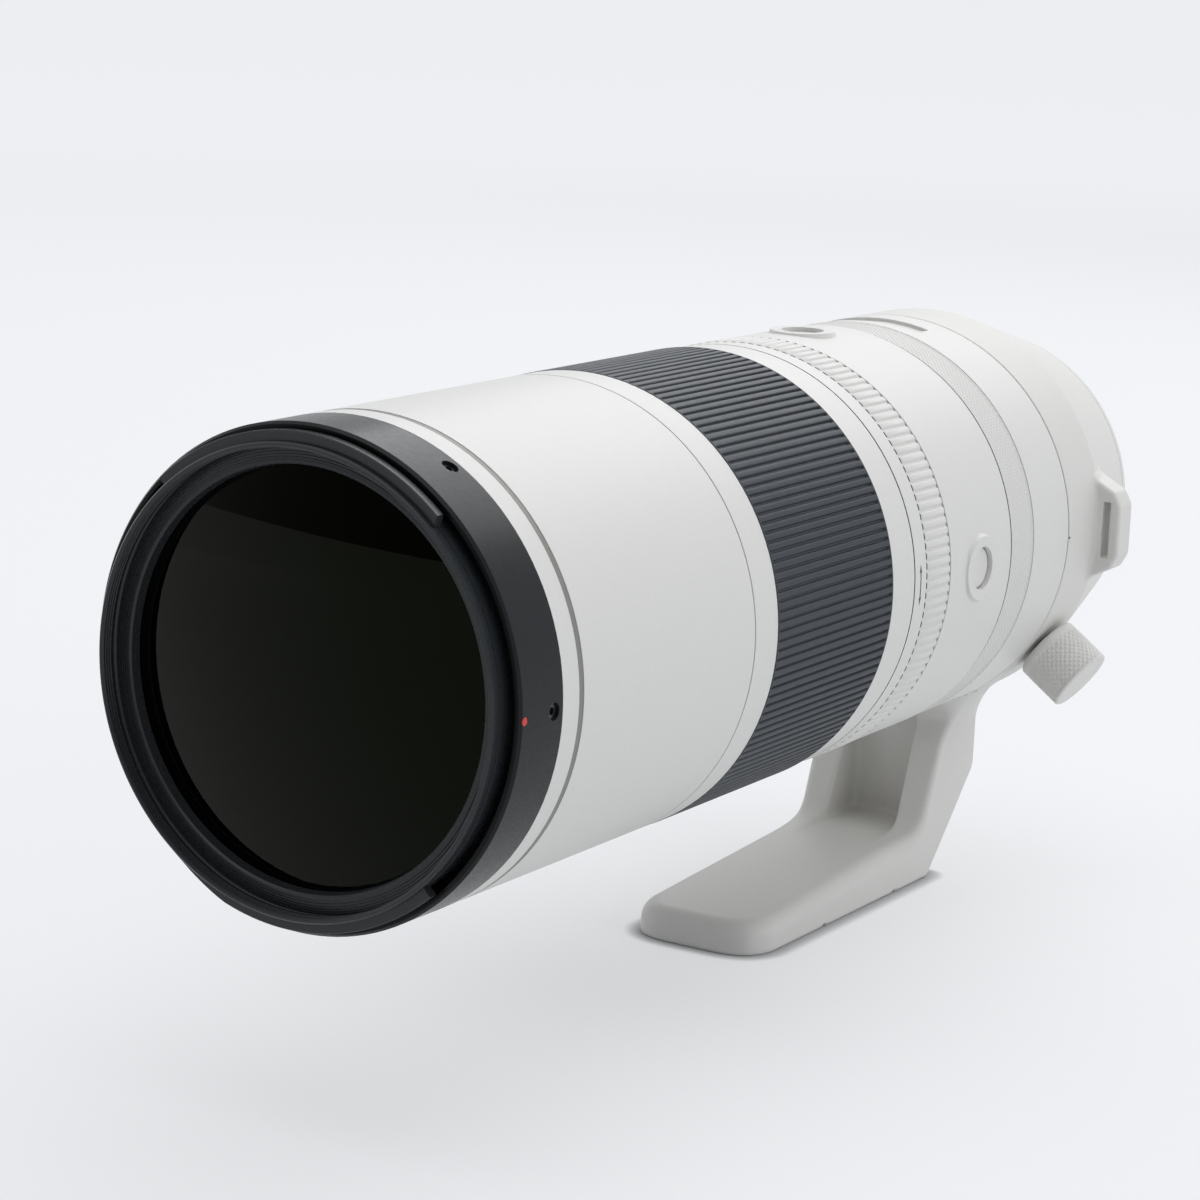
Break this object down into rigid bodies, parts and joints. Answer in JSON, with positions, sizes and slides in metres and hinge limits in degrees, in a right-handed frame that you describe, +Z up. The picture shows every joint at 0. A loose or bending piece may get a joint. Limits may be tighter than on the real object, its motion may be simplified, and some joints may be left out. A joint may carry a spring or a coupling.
{
  "type": "telephoto zoom lens",
  "caption": "White telephoto zoom lens with an extending front barrel, ribbed rubber zoom ring, control rings, rotating collar with tripod foot, and a rear bayonet.",
  "frame": {"origin": "centre of the mount flange's rear face, on the optical axis", "axes": "+Z up, with the foot below; the optical axis runs along Y and the front glass faces -Y; +X is the side with the side button"},
  "size_m": [0.115, 0.3187, 0.1461],
  "materials": {
    "white_enamel": "matt",
    "front_black": "satin",
    "grip_rubber": "matt",
    "trim_grey": "satin",
    "inner_black": "matt",
    "tube_alloy": "satin",
    "mount_metal": "satin",
    "screw_steel": "satin",
    "bearing_brass": "satin",
    "optical_glass": "polished",
    "black_plastic": "matt",
    "board_green": "matt",
    "seal_rubber": "matt"
  },
  "bodies": {
    "collar": {"collar_ring": "white_enamel", "strap_lugs": "white_enamel", "tripod_foot": "white_enamel", "foot_screws": "screw_steel", "foot_insert": "mount_metal"},
    "lock_knob": {"lock_knob": "white_enamel", "lock_stud": "screw_steel"},
    "lock_shoe": {"lock_shoe": "bearing_brass"},
    "barrel": {"mount_ring": "mount_metal", "mount_screws": "screw_steel", "mount_gasket": "seal_rubber", "contact_block": "black_plastic", "contact_pins": "bearing_brass", "rear_cover": "white_enamel", "main_tube": "tube_alloy", "main_board": "board_green", "rear_cell": "inner_black", "rear_elements": "optical_glass", "focus_rods": "screw_steel", "focus_motor": "black_plastic", "switch_shell": "white_enamel", "button_shell": "white_enamel", "index_band": "white_enamel", "guide_tube": "tube_alloy", "relay_cell": "inner_black", "relay_elements": "optical_glass", "iris_housing": "black_plastic", "iris_blades": "black_plastic"},
    "focus_group": {"focus_cell": "inner_black", "focus_elements": "optical_glass"},
    "steady_slider": {"stab_slider": "inner_black"},
    "steady_cell": {"stab_cell": "inner_black", "stab_element": "optical_glass"},
    "zoom_group": {"variator_cell": "inner_black", "variator_elements": "optical_glass"},
    "control_ring": {"control_ring": "white_enamel"},
    "tension_ring": {"tension_ring": "white_enamel"},
    "zoom_drive": {"zoom_ring": "white_enamel", "zoom_grip": "grip_rubber", "cam_sleeve": "tube_alloy"},
    "front_barrel": {"extension_tube": "white_enamel", "cam_followers": "bearing_brass", "front_shroud": "white_enamel", "trim_ring": "trim_grey", "name_ring": "white_enamel", "front_ring": "front_black", "set_screws": "screw_steel", "filter_ring": "front_black", "front_retainer": "inner_black", "front_cell": "inner_black", "front_element": "optical_glass", "front_doublet": "optical_glass"},
    "button_side": {"button_side": "white_enamel"},
    "button_top": {"button_top": "white_enamel"},
    "switch_focus": {"switch_focus": "black_plastic"},
    "switch_steady": {"switch_steady": "black_plastic"}
  },
  "joints": [
    {"name": "collar_turn", "type": "hinge", "parent": "collar", "child": "barrel", "pos_m": [0, -0.03, 0], "axis": [0, -1, 0], "continuous": true},
    {"name": "lock_turn", "type": "hinge", "parent": "collar", "child": "lock_knob", "pos_m": [0.04692, -0.0475, -0.03409], "axis": [-0.809, 0, 0.5878], "range_deg": [0, 180]},
    {"name": "lock_press", "type": "slide", "parent": "collar", "child": "lock_shoe", "axis": [-0.809, 0, 0.5878], "range_m": [0, 0.0005]},
    {"name": "zoom_turn", "type": "hinge", "parent": "barrel", "child": "zoom_drive", "pos_m": [0, -0.18, 0], "axis": [0, -1, 0], "range_deg": [0, 120]},
    {"name": "front_slide", "type": "slide", "parent": "barrel", "child": "front_barrel", "axis": [0, -1, 0], "range_m": [0, 0.092]},
    {"name": "zoom_group_slide", "type": "slide", "parent": "barrel", "child": "zoom_group", "axis": [0, -1, 0], "range_m": [0, 0.04]},
    {"name": "focus_slide", "type": "slide", "parent": "barrel", "child": "focus_group", "axis": [0, -1, 0], "range_m": [-0.008, 0.008]},
    {"name": "steady_vertical", "type": "slide", "parent": "barrel", "child": "steady_slider", "axis": [0, 0, 1], "range_m": [-0.0005, 0.0005], "stiffness_N_per_m": 6000},
    {"name": "steady_level", "type": "slide", "parent": "steady_slider", "child": "steady_cell", "axis": [1, 0, 0], "range_m": [-0.0005, 0.0005], "stiffness_N_per_m": 6000},
    {"name": "control_turn", "type": "hinge", "parent": "barrel", "child": "control_ring", "pos_m": [0, -0.085, 0], "axis": [0, -1, 0], "continuous": true},
    {"name": "tension_turn", "type": "hinge", "parent": "barrel", "child": "tension_ring", "pos_m": [0, -0.131, 0], "axis": [0, -1, 0], "range_deg": [-17, 17]},
    {"name": "button_side_press", "type": "slide", "parent": "barrel", "child": "button_side", "axis": [-1, 0, 0], "range_m": [0, 0.0008], "stiffness_N_per_m": 800, "springref_m": -0.001},
    {"name": "button_top_press", "type": "slide", "parent": "barrel", "child": "button_top", "axis": [0, 0, -1], "range_m": [0, 0.0008], "stiffness_N_per_m": 800, "springref_m": -0.001},
    {"name": "switch_focus_slide", "type": "slide", "parent": "barrel", "child": "switch_focus", "axis": [0, -1, 0], "range_m": [0, 0.003]},
    {"name": "switch_steady_slide", "type": "slide", "parent": "barrel", "child": "switch_steady", "axis": [0, -1, 0], "range_m": [0, 0.003]}
  ],
  "couplings": [
    {"joint": "front_slide", "follows": "zoom_turn", "m_per_rad": 0.043927},
    {"joint": "zoom_group_slide", "follows": "zoom_turn", "m_per_rad": 0.019099},
    {"joint": "lock_press", "follows": "lock_turn", "m_per_rad": 0.00015915}
  ]
}
